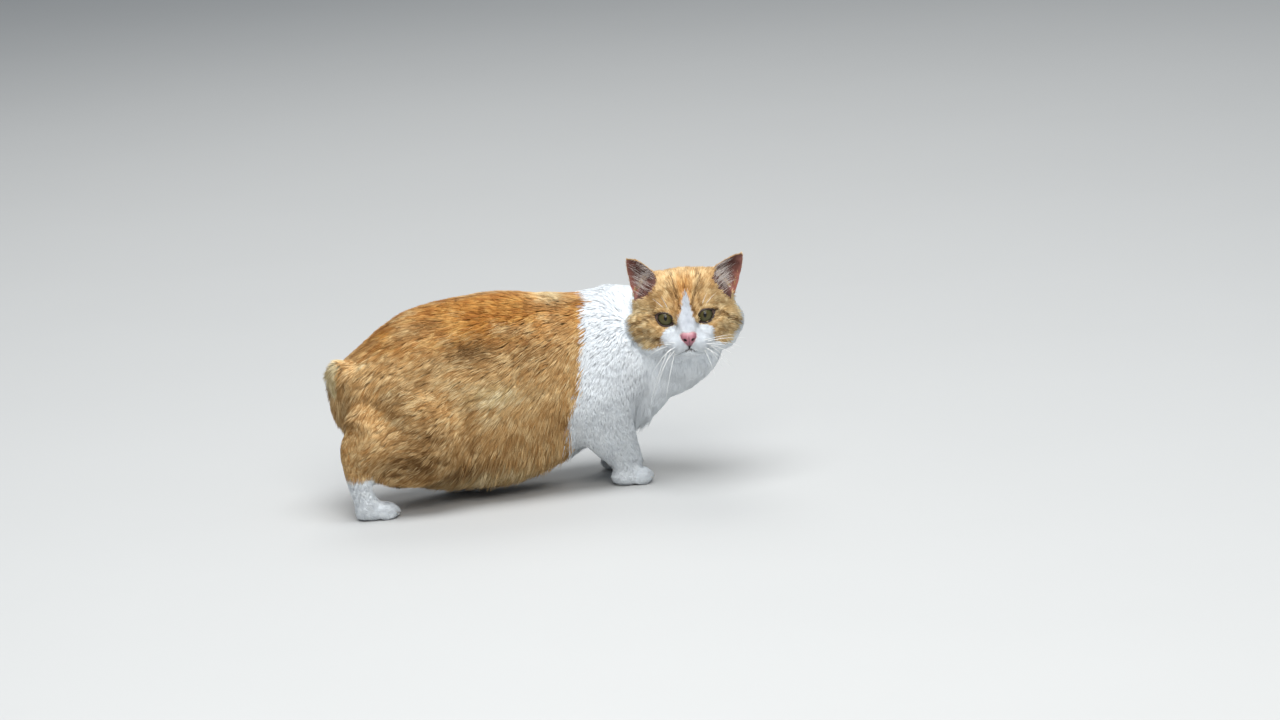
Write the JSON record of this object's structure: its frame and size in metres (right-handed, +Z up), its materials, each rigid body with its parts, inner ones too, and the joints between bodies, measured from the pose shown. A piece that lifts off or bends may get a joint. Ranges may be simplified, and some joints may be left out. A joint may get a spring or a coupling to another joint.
{
  "type": "manx cat",
  "caption": "Life-size still model of a tailless orange and white short-haired cat, standing low with its head turned to one side.",
  "frame": {"origin": "on the floor, under the middle of the whole figure's box", "axes": "+X along the body towards the chest, +Y to the cat's left, +Z up"},
  "size_m": [0.4419, 0.2047, 0.2399],
  "materials": {
    "orange_coat": "short fur",
    "white_coat": "short fur",
    "cream_coat": "short fur",
    "head_coat": "short fur",
    "ear_skin": "thin skin with short fur",
    "nose_leather": "bare, slightly moist",
    "eye": "wet gloss"
  },
  "bodies": {
    "root": {"head": "head_coat", "nose": "nose_leather", "ear_left": "ear_skin", "ear_right": "ear_skin", "eye_left": "eye", "eye_right": "eye", "neck": "white_coat", "chest": "white_coat", "belly": "orange_coat", "rump": "orange_coat", "tail_stump": "cream_coat", "upper_arm_left": "white_coat", "upper_arm_right": "white_coat", "forearm_left": "white_coat", "forearm_right": "white_coat", "front_paw_left": "white_coat", "front_paw_right": "white_coat", "thigh_left": "orange_coat", "thigh_right": "orange_coat", "shank_left": "orange_coat", "shank_right": "orange_coat", "hind_foot_left": "white_coat", "hind_foot_right": "white_coat", "hind_paw_left": "white_coat", "hind_paw_right": "white_coat"}
  },
  "joints": []
}
